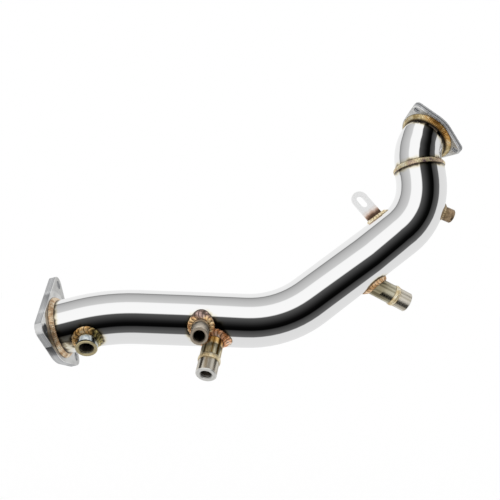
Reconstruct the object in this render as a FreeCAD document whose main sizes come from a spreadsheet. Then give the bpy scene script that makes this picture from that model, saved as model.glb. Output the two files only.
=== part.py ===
import FreeCAD, Part
import math
import os

import Sketcher

vec = FreeCAD.Vector
doc = FreeCAD.newDocument("TurboDownpipe")

# Driving sizes, in millimetres and degrees.
# Clock angles turn about the direction of travel, from the exhaust flange to the turbo flange:
# 0 is up on the main run and 90 is the side that faces the viewer.
SIZES = [
    ("main_od", 63.5, "outer diameter of the main tube"),
    ("tube_wall", 1.5, "wall of both tubes"),
    ("slip_clearance", 0.25, "gap all round where the elbow slips into the main tube"),
    ("slip_depth", 10.0, "length of the elbow inside the main tube"),
    ("exhaust_straight", 24.0, "straight from the exhaust flange to the first bend"),
    ("bend_one_radius", 236.0, "centreline radius of the shallow first bend"),
    ("bend_one_angle", 17.0, "turn of the first bend"),
    ("bend_one_roll", -161.9, "clock angle that the first bend turns toward"),
    ("main_run", 125.5, "long straight that carries the boss and the lower probe"),
    ("bend_two_radius", 118.0, "centreline radius of the second bend"),
    ("bend_two_angle", 40.3, "turn of the second bend"),
    ("bend_two_roll", -25.2, "clock angle that the second bend turns toward"),
    ("slope_run", 148.5, "straight that carries the side probe"),
    ("bend_three_radius", 85.0, "centreline radius of the third bend"),
    ("bend_three_angle", 59.3, "turn of the third bend"),
    ("bend_three_roll", -11.6, "clock angle that the third bend turns toward"),
    ("elbow_start", 5.0, "straight of the elbow past the main tube's mouth"),
    ("elbow_bend_radius", 48.0, "centreline radius of the elbow"),
    ("elbow_bend_angle", 48.0, "turn of the elbow"),
    ("elbow_bend_roll", -179.8, "clock angle that the elbow turns toward"),
    ("elbow_end", 6.5, "straight of the elbow under the turbo flange"),
    ("exhaust_plate", 9.0, "thickness of the exhaust flange"),
    ("exhaust_socket", 5.0, "depth that the tube enters the exhaust flange"),
    ("exhaust_bolt_circle", 104.0, "pitch circle of the exhaust flange holes"),
    ("exhaust_hole", 10.5, "clearance hole for an M10 stud"),
    ("exhaust_corner_radius", 10.5, "round of the exhaust flange corners"),
    ("exhaust_land", 5.2, "plate left outside the weld toe"),
    ("exhaust_shift_up", 5.2, "bolt circle centre from the tube axis, along the up direction"),
    ("exhaust_shift_side", -3.8, "bolt circle centre from the tube axis, along the side direction"),
    ("exhaust_clock", -30.0, "clock angle of the first exhaust hole"),
    ("exhaust_weld_leg", 5.0, "leg of the weld at the exhaust flange"),
    ("turbo_plate", 8.0, "thickness of the turbo flange"),
    ("turbo_socket", 4.0, "depth that the elbow enters the turbo flange"),
    ("turbo_bolt_circle", 82.5, "pitch circle of the turbo flange holes"),
    ("turbo_hole", 8.5, "clearance hole for an M8 stud"),
    ("turbo_corner_radius", 7.0, "round of the turbo flange ears"),
    ("turbo_land", 1.3, "plate left outside the weld toe"),
    ("turbo_clock", 30.0, "clock angle of the first turbo hole"),
    ("turbo_weld_leg", 5.5, "leg of the weld at the turbo flange"),
    ("plate_edge_break", 0.6, "chamfer on the flange plates and the bracket"),
    ("weld_bulge", 0.7, "how far a fillet weld stands proud of a flat face"),
    ("joint_weld_back", 2.5, "seam weld reaching back over the main tube"),
    ("joint_weld_front", 4.5, "seam weld reaching over the elbow"),
    ("joint_weld_rise", 1.3, "seam weld above the main tube"),
    ("joint_weld_crest", 0.5, "crest of the seam weld past the main tube's mouth"),
    ("lambda_station", 41.3, "lambda bung along the centreline from the exhaust flange"),
    ("lambda_clock", 129.0, "clock angle of the lambda bung"),
    ("lambda_od", 25.0, "outer diameter of the lambda bung"),
    ("lambda_bore", 16.4, "minor diameter of the M18 x 1.5 thread"),
    ("lambda_mouth", 19.0, "mouth of the lambda bung's lead-in chamfer"),
    ("lambda_height", 14.5, "lambda bung above the tube"),
    ("lambda_weld_leg", 5.5, "weld round the lambda bung"),
    ("boss_station", 174.2, "temperature boss along the centreline"),
    ("boss_clock", 100.1, "clock angle of the temperature boss"),
    ("boss_od", 20.0, "outer diameter of the temperature boss"),
    ("boss_bore", 12.4, "minor diameter of the M14 x 1.5 thread"),
    ("boss_mouth", 14.6, "mouth of the boss's lead-in chamfer"),
    ("boss_height", 39.0, "temperature boss above the tube"),
    ("boss_weld_leg", 5.8, "weld round the temperature boss"),
    ("lower_station", 193.4, "lower probe along the centreline"),
    ("lower_clock", 134.3, "clock angle of the lower probe"),
    ("lower_lean", -7.6, "lean of the lower probe, toward the turbo flange if positive"),
    ("lower_weld_leg", 5.5, "weld round the lower probe's foot"),
    ("side_station", 369.6, "side probe along the centreline"),
    ("side_clock", 175.2, "clock angle of the side probe"),
    ("side_lean", 28.3, "lean of the side probe, toward the turbo flange if positive"),
    ("side_weld_leg", 5.5, "weld round the side probe's foot"),
    ("probe_od", 24.0, "outer diameter of both long probes"),
    ("probe_bore", 12.4, "minor diameter of the M14 x 1.5 thread"),
    ("probe_mouth", 15.0, "mouth of the probe bung's lead-in chamfer"),
    ("probe_extension", 29.0, "length of the extension between tube and bung"),
    ("probe_extension_wall", 3.0, "wall of the extension"),
    ("probe_bung_length", 20.0, "length of the threaded bung on the extension"),
    ("probe_seam_half", 2.4, "half width of the seam between extension and bung"),
    ("probe_seam_rise", 1.1, "height of that seam"),
    ("stub_station", 507.0, "pressure stub along the centreline"),
    ("stub_clock", 174.0, "clock angle of the pressure stub"),
    ("stub_od", 18.0, "outer diameter of the pressure stub"),
    ("stub_bore", 10.2, "minor diameter of the M12 x 1.5 thread"),
    ("stub_mouth", 12.4, "mouth of the stub's lead-in chamfer"),
    ("stub_height", 15.5, "pressure stub above the tube"),
    ("stub_weld_leg", 4.0, "weld round the pressure stub"),
    ("rim_break", 0.8, "chamfer on the outer rim of the bungs"),
    ("bracket_station", 445.2, "bracket along the centreline"),
    ("bracket_clock", -19.2, "clock angle of the bracket"),
    ("bracket_lean", 0.0, "lean of the bracket, toward the turbo flange if positive"),
    ("bracket_width", 21.4, "width of the bracket"),
    ("bracket_thickness", 3.0, "sheet of the bracket"),
    ("bracket_reach", 32.0, "centre of the bracket's rounded end above the tube"),
    ("bracket_slot_height", 28.0, "middle of the slot above the tube"),
    ("bracket_slot_width", 9.0, "width of the bracket's slot"),
    ("bracket_slot_length", 17.0, "length of the slot, end to end"),
    ("bracket_weld_leg", 4.8, "leg of the weld along the bracket's foot"),
]

HOLES = 3
FLAT = 1e-6

sheet = doc.addObject("Spreadsheet::Sheet", "Sizes")
for row, (alias, value, note) in enumerate(SIZES, start=1):
    sheet.set("A%d" % row, alias)
    sheet.set("B%d" % row, str(value))
    sheet.set("C%d" % row, note)
    sheet.setAlias("B%d" % row, alias)
doc.recompute()


def size(alias):
    return float(sheet.get(alias))


def bind(thing, **formulas):
    # ties properties to the sheet, in formulas that name its cells with a leading dot
    for name, formula in formulas.items():
        thing.setExpression(name, formula.replace(".#", "Sizes."))


# The centreline, as a tube bender reads it: straights and bends in turn

class Frame:
    def __init__(self, point, along, up):
        self.point = point
        self.along = along
        self.up = up

    def side(self):
        return self.along.cross(self.up)

    def radial(self, clock):
        return FreeCAD.Rotation(self.along, clock).multVec(self.up)

    def straight(self, length):
        return Frame(self.point + self.along * length, self.along, self.up)

    def bend(self, radius, angle, roll):
        toward = self.radial(roll)
        centre = self.point + toward * radius
        swing = FreeCAD.Rotation(self.along.cross(toward), angle)
        return Frame(centre + swing.multVec(self.point - centre), swing.multVec(self.along),
                     swing.multVec(self.up))

    def placement(self):
        turn = FreeCAD.Rotation(self.up, self.side(), self.along, "ZXY")
        return FreeCAD.Placement(self.point, turn)


MAIN_LEGS = ["exhaust_socket", "exhaust_straight", "bend_one", "main_run", "bend_two",
             "slope_run", "bend_three", "slip_depth"]
ELBOW_LEGS = ["slip_depth", "elbow_start", "elbow_bend", "elbow_end", "turbo_socket"]


def isBend(leg):
    return "bend" in leg


def legLength(leg):
    if isBend(leg):
        return size(leg + "_radius") * math.radians(size(leg + "_angle"))
    return size(leg)


def legEnd(frame, leg, length):
    # the frame a given length into a leg that starts at frame
    if isBend(leg):
        radius = size(leg + "_radius")
        return frame.bend(radius, math.degrees(length / radius), size(leg + "_roll"))
    return frame.straight(length)


def walk(start, legs):
    frames = [start]
    for leg in legs:
        frames.append(legEnd(frames[-1], leg, legLength(leg)))
    return frames


def rowStart():
    # the frame at the main tube's end that lays the main run along +X, with up as +Z,
    # and puts the middle of the turbo flange's mating face at the origin
    trial = walk(Frame(vec(0, 0, 0), vec(1, 0, 0), vec(0, 0, 1)), MAIN_LEGS + ELBOW_LEGS[1:])
    run = trial[MAIN_LEGS.index("main_run")]
    turn = FreeCAD.Rotation(run.along, run.up.cross(run.along), run.up, "XZY").inverted()
    face = trial[-1].straight(size("turbo_plate") - size("turbo_socket"))
    return Frame(turn.multVec(face.point) * -1, turn.multVec(trial[0].along),
                 turn.multVec(trial[0].up))


mainFrames = walk(rowStart(), MAIN_LEGS)
elbowFrames = walk(mainFrames[-2], ELBOW_LEGS)
exhaustFrame = mainFrames[1]
mouthFrame = mainFrames[-1]
turboFrame = elbowFrames[-2]


def flipped(frame):
    # the placement that looks back along the centreline
    return Frame(frame.point, frame.along * -1, frame.up).placement()


def frameAt(station):
    # the frame on the main tube's centreline at a distance from its end in the exhaust flange
    left = station
    for frame, leg in zip(mainFrames, MAIN_LEGS):
        if left <= legLength(leg):
            return legEnd(frame, leg, left)
        left = left - legLength(leg)
    return mainFrames[-1]


# Ports and the bracket stand on the main tube at a station, a clock angle and a lean

def portLean(name):
    return size(name + "_lean") if sheet.getCellFromAlias(name + "_lean") else 0.0


def seatPlacement(name, lean=0.0):
    # where the axis leaves the tube: local Z out of the tube, local X along it
    frame = frameAt(size(name + "_station"))
    radial = frame.radial(size(name + "_clock"))
    across = radial.cross(frame.along)
    tilt = FreeCAD.Rotation(across, lean)
    outward = tilt.multVec(radial)
    reach = size("main_od") / 2 / math.cos(math.radians(portLean(name)))
    axis = FreeCAD.Rotation(across, portLean(name)).multVec(radial)
    turn = FreeCAD.Rotation(tilt.multVec(frame.along), outward.cross(tilt.multVec(frame.along)),
                            outward, "ZXY")
    return FreeCAD.Placement(frame.point + axis * reach, turn)


def portPlacement(name):
    return seatPlacement(name, portLean(name))


def raised(placement, height):
    return placement.multiply(FreeCAD.Placement(vec(0, 0, height), FreeCAD.Rotation()))


# Building blocks

FOOT = ".#main_od / 4"


def cylinder(name, placement, radius, height):
    rod = doc.addObject("Part::Cylinder", name)
    bind(rod, Radius=radius, Height=height)
    rod.Placement = placement
    return rod


def fused(name, shapes):
    joined = doc.addObject("Part::MultiFuse", name)
    joined.Shapes = shapes
    return joined


def cut(label, base, tool):
    result = doc.addObject("Part::Cut", label)
    result.Base = base
    result.Tool = tool
    return result


def legSolids(name, frames, legs, radius):
    # one solid for each leg: a rod for a straight, a part of a ring for a bend
    solids = []
    for frame, leg in zip(frames, legs):
        if isBend(leg):
            toward = frame.radial(size(leg + "_roll"))
            ring = doc.addObject("Part::Torus", name + "_" + leg)
            bind(ring, Radius1=".#" + leg + "_radius", Radius2=radius, Angle3=".#" + leg + "_angle")
            ring.Placement = FreeCAD.Placement(
                frame.point + toward * size(leg + "_radius"),
                FreeCAD.Rotation(toward * -1, frame.along, frame.along.cross(toward), "ZXY"))
            solids.append(ring)
        else:
            solids.append(cylinder(name + "_" + leg, frame.placement(), radius, ".#" + leg))
    return solids


def evaluate(formula):
    return float(sheet.evalExpression(formula.replace(".#", "")))


def newSketch(label, role):
    # a sketch in a body of its own, on one of the body's origin planes
    body = doc.addObject("PartDesign::Body", label)
    sketch = body.newObject("Sketcher::SketchObject", label + "_sketch")
    plane = next(item for item in body.Origin.OriginFeatures if item.Role == role)
    sketch.AttachmentSupport = (plane, "")
    sketch.MapMode = "FlatFace"
    doc.recompute()
    return body, sketch


def tie(sketch, kind, *where, to):
    # one sketch dimension bound to the sheet
    spot = sketch.addConstraint(Sketcher.Constraint(kind, *where, evaluate(to)))
    sketch.setExpression("Constraints[%d]" % spot, to.replace(".#", "Sizes."))


def turned(label, placement, profile):
    # a body turned about local Z, from corners (radius, height) that are tied to the sheet;
    # a third entry is the middle of the arc that ends in that corner
    body, sketch = newSketch(label, "XZ_Plane")
    spots = [vec(evaluate(corner[0]), evaluate(corner[1]), 0) for corner in profile]
    for index, corner in enumerate(profile):
        if len(corner) == 3:
            middle = vec(evaluate(corner[2][0]), evaluate(corner[2][1]), 0)
            sketch.addGeometry(Part.Arc(spots[index - 1], middle, spots[index]), False)
        else:
            sketch.addGeometry(Part.LineSegment(spots[index - 1], spots[index]), False)
    for index, corner in enumerate(profile):
        after = (index + 1) % len(profile)
        end = nearEnd(sketch, index, spots[index])
        start = nearEnd(sketch, after, spots[index])
        sketch.addConstraint(Sketcher.Constraint("Coincident", index, end, after, start))
        tie(sketch, "DistanceX", -1, 1, index, end, to=corner[0])
        tie(sketch, "DistanceY", -1, 1, index, end, to=corner[1])
    turn = body.newObject("PartDesign::Revolution", label + "_turn")
    turn.Profile = sketch
    turn.ReferenceAxis = (sketch, ["V_Axis"])
    turn.Angle = 360.0
    body.Placement = placement
    return body


def nearEnd(sketch, index, spot):
    # an arc always runs anticlockwise, so either end may be the wanted one
    first = sketch.getPoint(index, 1)
    last = sketch.getPoint(index, 2)
    return 1 if first.distanceToPoint(spot) < last.distanceToPoint(spot) else 2


def plate(label, placement, discs, holes, thickness):
    # a plate round a ring of discs (x, y, radius), joined by their outer tangents,
    # with round holes (x, y, radius) through it
    body, sketch = newSketch(label, "XY_Plane")
    centres = [vec(evaluate(disc[0]), evaluate(disc[1]), 0) for disc in discs]
    radii = [evaluate(disc[2]) for disc in discs]
    count = len(discs)
    normals = [tangentNormal(centres[i], radii[i], centres[(i + 1) % count], radii[(i + 1) % count])
               for i in range(count)]
    for index in range(count):
        start = normals[index - 1]
        end = normals[index]
        circle = Part.Circle(centres[index], vec(0, 0, 1), radii[index])
        first = math.atan2(start.y, start.x)
        last = math.atan2(end.y, end.x)
        sketch.addGeometry(Part.ArcOfCircle(circle, first, last), False)
    for index in range(count):
        after = (index + 1) % count
        start = centres[index] + normals[index] * radii[index]
        end = centres[after] + normals[index] * radii[after]
        sketch.addGeometry(Part.LineSegment(start, end), False)
    for index, disc in enumerate(discs):
        line = count + index
        sketch.addConstraint(Sketcher.Constraint("Tangent", index, 2, line, 1))
        sketch.addConstraint(Sketcher.Constraint("Tangent", line, 2, (index + 1) % count, 1))
        tie(sketch, "Radius", index, to=disc[2])
        tieCentre(sketch, index, disc)
    for hole in holes:
        spot = vec(evaluate(hole[0]), evaluate(hole[1]), 0)
        index = sketch.addGeometry(Part.Circle(spot, vec(0, 0, 1), evaluate(hole[2])), False)
        tie(sketch, "Radius", index, to=hole[2])
        tieCentre(sketch, index, hole)
    pad = body.newObject("PartDesign::Pad", label + "_plate")
    pad.Profile = sketch
    bind(pad, Length=thickness)
    body.Placement = placement
    doc.recompute()
    return body, pad


def tieCentre(sketch, index, disc):
    tie(sketch, "DistanceX", -1, 1, index, 3, to=disc[0])
    tie(sketch, "DistanceY", -1, 1, index, 3, to=disc[1])


def tangentNormal(centre, radius, other, otherRadius):
    # outward normal of the outer tangent from one disc to the next, going anticlockwise
    gap = other - centre
    heading = math.atan2(gap.y, gap.x)
    slant = math.acos((radius - otherRadius) / gap.Length)
    return vec(math.cos(heading - slant), math.sin(heading - slant), 0)


def breakEdges(body, pad, label):
    # a small chamfer on the outline, top and bottom, and only on edges that lie flat
    names = ["Edge%d" % (number + 1) for number, edge in enumerate(pad.Shape.Edges)
             if not edge.isClosed() and edge.BoundBox.ZLength < FLAT]
    chamfer = body.newObject("PartDesign::Chamfer", label + "_edge")
    chamfer.Base = (pad, names)
    bind(chamfer, Size=".#plate_edge_break")
    body.Tip = chamfer


def socket(body, label, radius, depth):
    # the step in a flange's bore that the tube's end sits in
    sketch = body.newObject("Sketcher::SketchObject", label + "_socket_sketch")
    support = next(item for item in body.Origin.OriginFeatures if item.Role == "XY_Plane")
    sketch.AttachmentSupport = (support, "")
    sketch.MapMode = "FlatFace"
    index = sketch.addGeometry(Part.Circle(vec(0, 0, 0), vec(0, 0, 1), evaluate(radius)), False)
    tie(sketch, "Radius", index, to=radius)
    sketch.addConstraint(Sketcher.Constraint("Coincident", index, 3, -1, 1))
    pocket = body.newObject("PartDesign::Pocket", label + "_socket")
    pocket.Profile = sketch
    bind(pocket, Length=depth)
    pocket.Reversed = True


# Tubes: the main tube, and the elbow that slips into its mouth

MAIN_RADIUS = ".#main_od / 2"
MAIN_BORE = ".#main_od / 2 - .#tube_wall"
ELBOW_RADIUS = ".#main_od / 2 - .#tube_wall - .#slip_clearance"
ELBOW_BORE = ".#main_od / 2 - 2 * .#tube_wall - .#slip_clearance"

# radius of the hole that each port needs in the tube
PROBE_PASSAGE = ".#probe_od / 2 - .#probe_extension_wall"
PORT_HOLES = {
    "lambda": ".#lambda_bore / 2",
    "boss": ".#boss_bore / 2",
    "lower": PROBE_PASSAGE,
    "side": PROBE_PASSAGE,
    "stub": ".#stub_bore / 2",
}

mainOuter = fused("main_outer", legSolids("outer", mainFrames, MAIN_LEGS, MAIN_RADIUS))
mainInner = legSolids("inner", mainFrames, MAIN_LEGS, MAIN_BORE)
portHoles = []
for name, hole in PORT_HOLES.items():
    portHoles.append(cylinder("hole_" + name, raised(portPlacement(name), -evaluate(FOOT)), hole,
                              "2 * " + FOOT))
cut("main_tube", mainOuter, fused("main_openings", mainInner + portHoles))

elbowOuter = fused("elbow_outer", legSolids("elbow_skin", elbowFrames, ELBOW_LEGS, ELBOW_RADIUS))
elbowInner = fused("elbow_inner", legSolids("elbow_gas", elbowFrames, ELBOW_LEGS, ELBOW_BORE))
cut("upper_elbow", elbowOuter, elbowInner)


# Flanges: laser-cut plates; local X is up, local Z points away from the tube

def boltSpots(circle, clock, sense, shift):
    # hole centres in the plate's own axes, as formulas
    spots = []
    for number in range(HOLES):
        angle = "(.#%s + %d)" % (clock, number * 360 // HOLES)
        spots.append(("%s + .#%s / 2 * cos(%s)" % (shift[0], circle, angle),
                      "%s * (%s + .#%s / 2 * sin(%s))" % (sense, shift[1], circle, angle)))
    return spots


exhaustSpots = boltSpots("exhaust_bolt_circle", "exhaust_clock", "-1",
                         (".#exhaust_shift_up", ".#exhaust_shift_side"))
exhaustDisc = ("0", "0", MAIN_RADIUS + " + .#exhaust_weld_leg + .#exhaust_land")
exhaustCorners = [spot + (".#exhaust_corner_radius",) for spot in reversed(exhaustSpots)]
exhaustFlange, exhaustPad = plate(
    "exhaust_flange", flipped(exhaustFrame),
    [exhaustCorners[0], exhaustDisc, exhaustCorners[1], exhaustCorners[2]],
    [spot + (".#exhaust_hole / 2",) for spot in exhaustSpots] + [("0", "0", MAIN_BORE)],
    ".#exhaust_plate")
breakEdges(exhaustFlange, exhaustPad, "exhaust_flange")
socket(exhaustFlange, "exhaust_flange", MAIN_RADIUS, ".#exhaust_socket")

turboSpots = boltSpots("turbo_bolt_circle", "turbo_clock", "1", ("0", "0"))
turboDisc = ("0", "0", ELBOW_RADIUS + " + .#turbo_weld_leg + .#turbo_land")
turboOutline = []
for spot in turboSpots:
    turboOutline.append(spot + (".#turbo_corner_radius",))
    turboOutline.append(turboDisc)
turboFlange, turboPad = plate(
    "turbo_flange", turboFrame.placement(), turboOutline,
    [spot + (".#turbo_hole / 2",) for spot in turboSpots] + [("0", "0", ELBOW_BORE)],
    ".#turbo_plate")
breakEdges(turboFlange, turboPad, "turbo_flange")
socket(turboFlange, "turbo_flange", ELBOW_RADIUS, ".#turbo_socket")


# Welds that run round a tube

def filletWeld(label, placement, radius, leg):
    # a bead in the corner of a plate and a tube, bulging a little
    middle = (radius + " + %s / 2 + .#weld_bulge" % leg, "%s / 2 + .#weld_bulge" % leg)
    return turned(label, placement, [(radius, "0"), (radius + " + " + leg, "0"),
                                     (radius, leg, middle)])


filletWeld("exhaust_flange_weld", exhaustFrame.placement(), MAIN_RADIUS, ".#exhaust_weld_leg")
filletWeld("turbo_flange_weld", flipped(turboFrame), ELBOW_RADIUS, ".#turbo_weld_leg")
turned("elbow_joint_weld", mouthFrame.placement(), [
    (ELBOW_RADIUS, "0"),
    (MAIN_RADIUS, "0"),
    (MAIN_RADIUS, "0 - .#joint_weld_back"),
    (ELBOW_RADIUS, ".#joint_weld_front", (MAIN_RADIUS + " + .#joint_weld_rise", ".#joint_weld_crest")),
])


# Threaded bungs and their welds

def bung(label, placement, name, foot, height):
    # a turned bung with a lead-in at its mouth and a broken outer rim
    outer = ".#%s_od / 2" % name
    bore = ".#%s_bore / 2" % name
    mouth = ".#%s_mouth / 2" % name
    return turned(label, placement, [
        (bore, foot),
        (outer, foot),
        (outer, height + " - .#rim_break"),
        (outer + " - .#rim_break", height),
        (mouth, height),
        (bore, "%s - (%s - %s)" % (height, mouth, bore)),
    ])


def coped(label, body):
    # the foot shaped to the tube that it stands on
    return cut(label, body, mainOuter)


def footWeld(label, name, radius, leg, beside=()):
    # a bead round a port's foot, which stops against what it runs beside
    bead = doc.addObject("Part::Torus", label + "_ring")
    bind(bead, Radius1="(%s) / cos(%s)" % (radius, portLean(name)), Radius2=leg)
    bead.Placement = raised(seatPlacement(name), -footDrop(radius) / 2)
    rod = cylinder(label + "_rod", raised(portPlacement(name), -evaluate(FOOT)), radius,
                   "3 * " + FOOT)
    return cut(label, bead, fused(label + "_tool", [mainOuter, rod] + list(beside)))


def footDrop(radius):
    # how far the tube's surface falls away at the side of a port
    tube = size("main_od") / 2
    return tube - math.sqrt(tube ** 2 - evaluate(radius) ** 2)


DEEP = "0 - " + FOOT
PROBE_RADIUS = ".#probe_od / 2"

# the boss and the lower probe stand so close that their welds run together
bossSpace = cylinder("boss_space", portPlacement("boss"), ".#boss_od / 2", ".#boss_height")
lowerSpace = cylinder("lower_space", raised(portPlacement("lower"), -evaluate(FOOT)), PROBE_RADIUS,
                      ".#probe_extension + " + FOOT)

coped("lambda_bung", bung("lambda_body", portPlacement("lambda"), "lambda", DEEP,
                          ".#lambda_height"))
coped("temperature_boss", bung("boss_body", portPlacement("boss"), "boss", DEEP,
                               ".#boss_height"))
coped("pressure_stub", bung("stub_body", portPlacement("stub"), "stub", DEEP, ".#stub_height"))
footWeld("lambda_bung_weld", "lambda", ".#lambda_od / 2", ".#lambda_weld_leg")
bossWeld = footWeld("temperature_boss_weld", "boss", ".#boss_od / 2", ".#boss_weld_leg",
                    [lowerSpace])
footWeld("pressure_stub_weld", "stub", ".#stub_od / 2", ".#stub_weld_leg")

for name in ("lower", "side"):
    label = name + "_probe"
    foot = portPlacement(name)
    joint = raised(foot, size("probe_extension"))
    extension = turned(label + "_sleeve", foot, [
        (PROBE_PASSAGE, DEEP), (PROBE_RADIUS, DEEP),
        (PROBE_RADIUS, ".#probe_extension"), (PROBE_PASSAGE, ".#probe_extension")])
    coped(label + "_extension", extension)
    bung(label + "_bung", joint, "probe", "0", ".#probe_bung_length")
    turned(label + "_joint_weld", joint, [
        (PROBE_RADIUS, "0 - .#probe_seam_half"),
        (PROBE_RADIUS, ".#probe_seam_half", (PROBE_RADIUS + " + .#probe_seam_rise", "0"))])
    neighbour = [bossWeld.Base, bossSpace] if name == "lower" else []
    footWeld(label + "_base_weld", name, PROBE_RADIUS, ".#%s_weld_leg" % name, neighbour)


# Bracket: a slotted sheet tab that stands on the tube, lengthwise

def bracketBlank(label, placement):
    body, sketch = newSketch(label, "XZ_Plane")
    half = size("bracket_width") / 2
    foot = -evaluate(FOOT)
    top = size("bracket_reach")
    corners = [vec(-half, top, 0), vec(-half, foot, 0), vec(half, foot, 0), vec(half, top, 0)]
    for start, end in zip(corners, corners[1:]):
        sketch.addGeometry(Part.LineSegment(start, end), False)
    crown = Part.Circle(vec(0, top, 0), vec(0, 0, 1), half)
    sketch.addGeometry(Part.ArcOfCircle(crown, 0, math.pi), False)
    for index in range(2):
        sketch.addConstraint(Sketcher.Constraint("Coincident", index, 2, index + 1, 1))
    sketch.addConstraint(Sketcher.Constraint("Tangent", 2, 2, 3, 1))
    sketch.addConstraint(Sketcher.Constraint("Tangent", 3, 2, 0, 1))
    sketch.addConstraint(Sketcher.Constraint("Horizontal", 1))
    sketch.addConstraint(Sketcher.Constraint("Vertical", 0))
    sketch.addConstraint(Sketcher.Constraint("PointOnObject", 3, 3, -2))
    tie(sketch, "Radius", 3, to=".#bracket_width / 2")
    tie(sketch, "DistanceY", -1, 1, 3, 3, to=".#bracket_reach")
    tie(sketch, "DistanceY", -1, 1, 0, 2, to=DEEP)
    pad = body.newObject("PartDesign::Pad", label + "_sheet")
    pad.Profile = sketch
    bind(pad, Length=".#bracket_thickness")
    pad.Midplane = True
    body.Placement = placement
    return body


def bracketSlot(body, label):
    sketch = body.newObject("Sketcher::SketchObject", label + "_slot_sketch")
    support = next(item for item in body.Origin.OriginFeatures if item.Role == "XZ_Plane")
    sketch.AttachmentSupport = (support, "")
    sketch.MapMode = "FlatFace"
    half = size("bracket_slot_width") / 2
    straight = (size("bracket_slot_length") - size("bracket_slot_width")) / 2
    middle = size("bracket_slot_height")
    high = middle + straight
    low = middle - straight
    upper = Part.Circle(vec(0, high, 0), vec(0, 0, 1), half)
    lower = Part.Circle(vec(0, low, 0), vec(0, 0, 1), half)
    sketch.addGeometry(Part.ArcOfCircle(upper, 0, math.pi), False)
    sketch.addGeometry(Part.LineSegment(vec(-half, high, 0), vec(-half, low, 0)), False)
    sketch.addGeometry(Part.ArcOfCircle(lower, math.pi, 2 * math.pi), False)
    sketch.addGeometry(Part.LineSegment(vec(half, low, 0), vec(half, high, 0)), False)
    for index in range(4):
        sketch.addConstraint(Sketcher.Constraint("Tangent", index, 2, (index + 1) % 4, 1))
    tie(sketch, "Radius", 0, to=".#bracket_slot_width / 2")
    for index, sign in ((0, "+"), (2, "-")):
        sketch.addConstraint(Sketcher.Constraint("PointOnObject", index, 3, -2))
        tie(sketch, "DistanceY", -1, 1, index, 3,
            to=".#bracket_slot_height %s (.#bracket_slot_length - .#bracket_slot_width) / 2" % sign)
    pocket = body.newObject("PartDesign::Pocket", label + "_slot")
    pocket.Profile = sketch
    bind(pocket, Length=".#bracket_thickness")
    pocket.Midplane = True


bracketSeat = portPlacement("bracket")
bracketBody = bracketBlank("bracket_body", bracketSeat)
bracketSlot(bracketBody, "bracket_body")
coped("mounting_bracket", bracketBody)

alongTube = FreeCAD.Rotation(vec(0, 1, 0), 90)
weldRod = cylinder("bracket_weld_rod", bracketSeat.multiply(
    FreeCAD.Placement(vec(-size("bracket_width") / 2, 0, 0), alongTube)),
    ".#bracket_thickness / 2 + .#bracket_weld_leg", ".#bracket_width")
bracketBlock = doc.addObject("Part::Box", "bracket_weld_slot")
bind(bracketBlock, Length="2 * .#bracket_width", Width=".#bracket_thickness",
     Height=".#bracket_width")
bracketBlock.Placement = bracketSeat.multiply(FreeCAD.Placement(
    vec(-size("bracket_width"), -size("bracket_thickness") / 2, -size("bracket_width") / 2),
    FreeCAD.Rotation()))
cut("bracket_weld", weldRod, fused("bracket_weld_tool", [mainOuter, bracketBlock]))


# Check and write

NODES = [
    "exhaust_flange", "turbo_flange", "main_tube", "upper_elbow",
    "exhaust_flange_weld", "turbo_flange_weld", "elbow_joint_weld",
    "lambda_bung", "lambda_bung_weld", "temperature_boss", "temperature_boss_weld",
    "lower_probe_extension", "lower_probe_bung", "lower_probe_joint_weld", "lower_probe_base_weld",
    "side_probe_extension", "side_probe_bung", "side_probe_joint_weld", "side_probe_base_weld",
    "pressure_stub", "pressure_stub_weld", "mounting_bracket", "bracket_weld",
]

doc.recompute()
for item in doc.Objects:
    if "Invalid" in item.State or "Error" in item.State:
        raise RuntimeError("%s failed: %s" % (item.Name, item.State))

os.makedirs("parts", exist_ok=True)
for node in NODES:
    shape = doc.getObject(node).Shape
    if shape.isNull() or not shape.isValid():
        raise RuntimeError("%s has no valid shape" % node)
    shape.exportStep("parts/%s.step" % node)
    print("%-24s solids %d  volume %.1f" % (node, len(shape.Solids), shape.Volume))
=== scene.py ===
import math

import bmesh
import bpy
import numpy as np
from mathutils import Matrix, Vector


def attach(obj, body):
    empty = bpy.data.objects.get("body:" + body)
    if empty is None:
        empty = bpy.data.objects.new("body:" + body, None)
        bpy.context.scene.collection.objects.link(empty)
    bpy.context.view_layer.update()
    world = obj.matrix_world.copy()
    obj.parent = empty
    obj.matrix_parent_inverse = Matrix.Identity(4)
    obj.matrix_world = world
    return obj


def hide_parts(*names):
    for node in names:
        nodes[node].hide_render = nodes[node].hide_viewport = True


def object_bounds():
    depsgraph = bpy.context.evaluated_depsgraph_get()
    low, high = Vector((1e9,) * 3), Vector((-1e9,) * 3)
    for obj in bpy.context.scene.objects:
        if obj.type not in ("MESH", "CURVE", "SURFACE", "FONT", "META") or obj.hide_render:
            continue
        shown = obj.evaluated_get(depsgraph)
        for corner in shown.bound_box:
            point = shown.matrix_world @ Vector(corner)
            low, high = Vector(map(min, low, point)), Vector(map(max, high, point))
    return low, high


# The size tables below are in millimetres unless they say otherwise; the frame is in metres
mm = 0.001

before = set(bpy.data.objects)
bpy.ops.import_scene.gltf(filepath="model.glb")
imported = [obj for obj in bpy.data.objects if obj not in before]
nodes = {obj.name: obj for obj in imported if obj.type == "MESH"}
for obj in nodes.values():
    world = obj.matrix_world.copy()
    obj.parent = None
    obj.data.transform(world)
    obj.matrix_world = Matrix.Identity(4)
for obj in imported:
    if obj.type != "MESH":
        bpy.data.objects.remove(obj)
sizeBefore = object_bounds()


# Small helpers

def hexColour(code):
    # sRGB hex to the linear colour that a shader socket holds
    def linear(value):
        return value / 12.92 if value <= 0.04045 else ((value + 0.055) / 1.055) ** 2.4
    return tuple(linear(int(code[i:i + 2], 16) / 255) for i in (1, 3, 5)) + (1.0,)


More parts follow.
